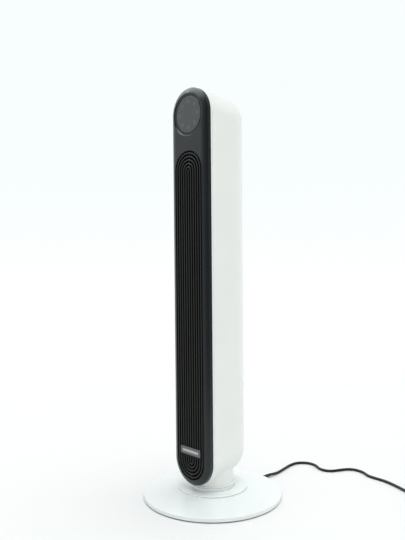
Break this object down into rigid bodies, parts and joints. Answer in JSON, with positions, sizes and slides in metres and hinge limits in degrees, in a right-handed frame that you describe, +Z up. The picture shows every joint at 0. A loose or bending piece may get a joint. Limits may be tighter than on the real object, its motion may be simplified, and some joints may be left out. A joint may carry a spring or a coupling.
{
  "type": "tower fan",
  "caption": "Tall white tower fan with a black slotted front panel and round touch display, turning on a round white foot, with a mains cord.",
  "frame": {"origin": "centre of the round foot, on the surface that the fan stands on", "axes": "+Z up along the swivel axis, -Y is the front that the air leaves through, +X is the fan's left side seen from behind"},
  "size_m": [0.522, 0.5997, 0.8802],
  "materials": {
    "white_shell": "satin",
    "foot_white": "gloss",
    "black_panel": "satin",
    "black_grille": "satin",
    "display_glass": "gloss",
    "dark_plastic": "matte",
    "natural_plastic": "satin",
    "black_rubber": "matte",
    "cord_jacket": "satin",
    "plate_steel": "brushed",
    "laminated_steel": "matte",
    "copper_wire": "satin",
    "brass_part": "satin",
    "circuit_board": "satin",
    "badge_metal": "satin",
    "wheel_plastic": "satin"
  },
  "bodies": {
    "base": {"base_cover": "foot_white", "base_plate": "dark_plastic", "counterweight": "laminated_steel", "rubber_feet": "black_rubber", "base_screws": "plate_steel", "swivel_seat": "foot_white", "seat_lip": "foot_white", "seat_screws": "plate_steel", "glide_ring": "natural_plastic", "swivel_post": "plate_steel", "fixed_gear": "natural_plastic", "post_clip": "plate_steel", "cord_strain_relief": "black_rubber", "power_cord": "cord_jacket", "cord_coil": "cord_jacket", "coil_tie": "dark_plastic", "plug_relief": "black_rubber", "plug_body": "black_rubber", "plug_blades": "brass_part"},
    "tower": {"neck": "white_shell", "neck_collar": "white_shell", "swivel_hub": "natural_plastic", "rear_housing": "white_shell", "intake_grille": "white_shell", "housing_trim": "white_shell", "front_frame": "black_panel", "front_grille": "black_grille", "badge_plate": "badge_metal", "display_lens": "display_glass", "display_ring": "black_panel", "display_holder": "dark_plastic", "display_board": "circuit_board", "touch_springs": "plate_steel", "board_tray": "dark_plastic", "control_board": "circuit_board", "board_parts": "dark_plastic", "housing_screws": "plate_steel", "drive_plate": "dark_plastic", "drive_motor": "plate_steel", "motor_housing": "plate_steel", "motor_cap": "plate_steel", "motor_stator": "laminated_steel", "motor_windings": "copper_wire", "motor_bushes": "brass_part", "motor_dampers": "black_rubber", "lower_bulkhead": "dark_plastic", "upper_bulkhead": "dark_plastic", "bearing_cushion": "black_rubber", "upper_bush": "brass_part", "duct_scroll": "dark_plastic", "duct_tongue": "dark_plastic"},
    "drive_gear": {"drive_pinion": "brass_part"},
    "blower_wheel": {"motor_shaft": "plate_steel", "motor_rotor": "laminated_steel", "wheel_segment_1": "wheel_plastic", "wheel_segment_2": "wheel_plastic", "wheel_segment_3": "wheel_plastic", "wheel_segment_4": "wheel_plastic", "wheel_segment_5": "wheel_plastic", "wheel_stub_shaft": "plate_steel"}
  },
  "joints": [
    {"name": "tower_swing", "type": "hinge", "parent": "base", "child": "tower", "pos_m": [0, 0, 0.03], "axis": [0, 0, 1], "range_deg": [-40, 40]},
    {"name": "drive_gear_spin", "type": "hinge", "parent": "tower", "child": "drive_gear", "pos_m": [0, 0.0275, 0.064], "axis": [0, 0, 1], "range_deg": [-107, 107]},
    {"name": "blower_spin", "type": "hinge", "parent": "tower", "child": "blower_wheel", "pos_m": [0, 0.018, 0.44], "axis": [0, 0, 1], "continuous": true}
  ],
  "couplings": [
    {"joint": "drive_gear_spin", "follows": "tower_swing", "ratio": 2.6667}
  ]
}
